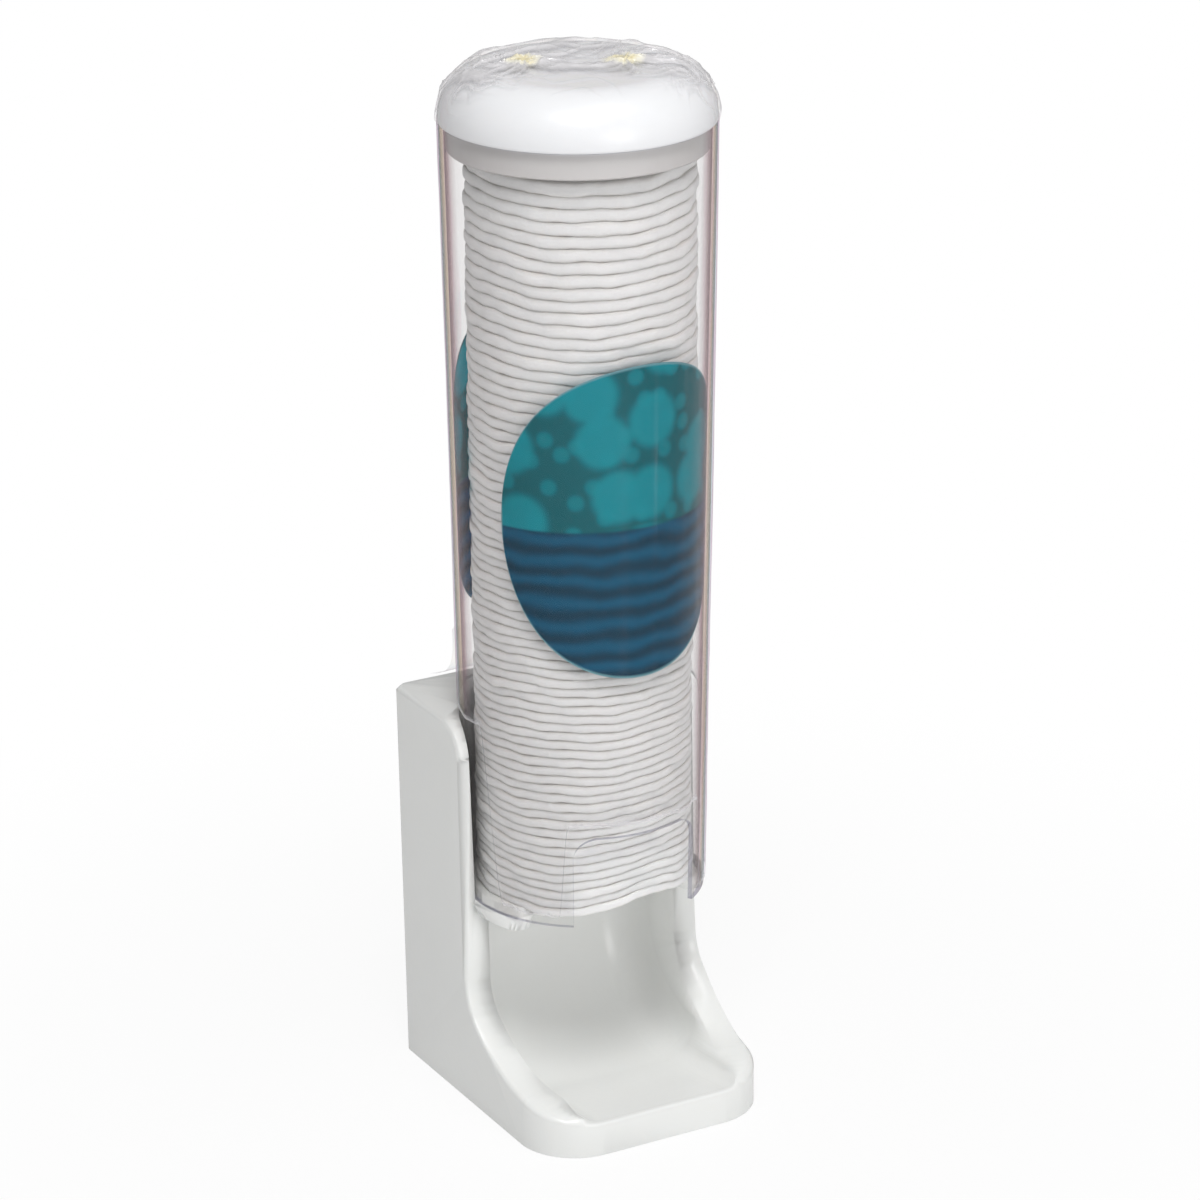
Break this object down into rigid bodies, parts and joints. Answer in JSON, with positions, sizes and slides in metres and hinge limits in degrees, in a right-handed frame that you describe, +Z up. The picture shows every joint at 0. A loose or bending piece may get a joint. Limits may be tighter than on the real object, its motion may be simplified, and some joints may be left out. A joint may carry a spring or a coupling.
{
  "type": "cotton pad dispenser",
  "caption": "Free-standing cotton pad dispenser: clear tapered tube with domed lid and finger notch, standing in a white holder with an open scoop tray, filled with round pads.",
  "frame": {"origin": "middle of the holder's footprint, on the surface that it stands on", "axes": "+Z up along the tube, -Y towards the front of the tray, +X to the right of someone who looks at the front of the tray"},
  "size_m": [0.0694, 0.082, 0.2754],
  "materials": {
    "white_moulding": "gloss",
    "clear_plastic": "gloss",
    "white_lid": "gloss",
    "front_film": "satin",
    "back_film": "satin",
    "cotton": "matte"
  },
  "bodies": {
    "holder": {"holder": "white_moulding", "pads_02_to_05": "cotton", "pads_06_to_09": "cotton", "pads_10_to_13": "cotton", "pads_14_to_17": "cotton", "pads_18_to_21": "cotton", "pads_22_to_25": "cotton", "pads_26_to_29": "cotton", "pads_30_to_33": "cotton", "pads_34_to_37": "cotton", "pads_38_to_41": "cotton", "pads_42_to_45": "cotton", "pads_46_to_49": "cotton", "pads_50_to_53": "cotton", "pads_54_to_57": "cotton", "pads_58_to_61": "cotton", "pads_62_to_65": "cotton", "pads_66_to_69": "cotton", "pads_70_to_73": "cotton"},
    "tube": {"tube": "clear_plastic", "front_label": "front_film", "back_label": "back_film"},
    "lid": {"lid": "white_lid"},
    "lowest_pad": {"bottom_pad": "cotton"}
  },
  "joints": [
    {"name": "tube_lift", "type": "slide", "parent": "holder", "child": "tube", "axis": [0, 0, 1], "range_m": [0, 0.21]},
    {"name": "lid_lift", "type": "slide", "parent": "tube", "child": "lid", "axis": [0, 0, 1], "range_m": [0, 0.04]},
    {"name": "pad_pull", "type": "slide", "parent": "holder", "child": "lowest_pad", "axis": [0, -1, 0], "range_m": [0, 0.062], "deforming": ["bottom_pad"]}
  ]
}
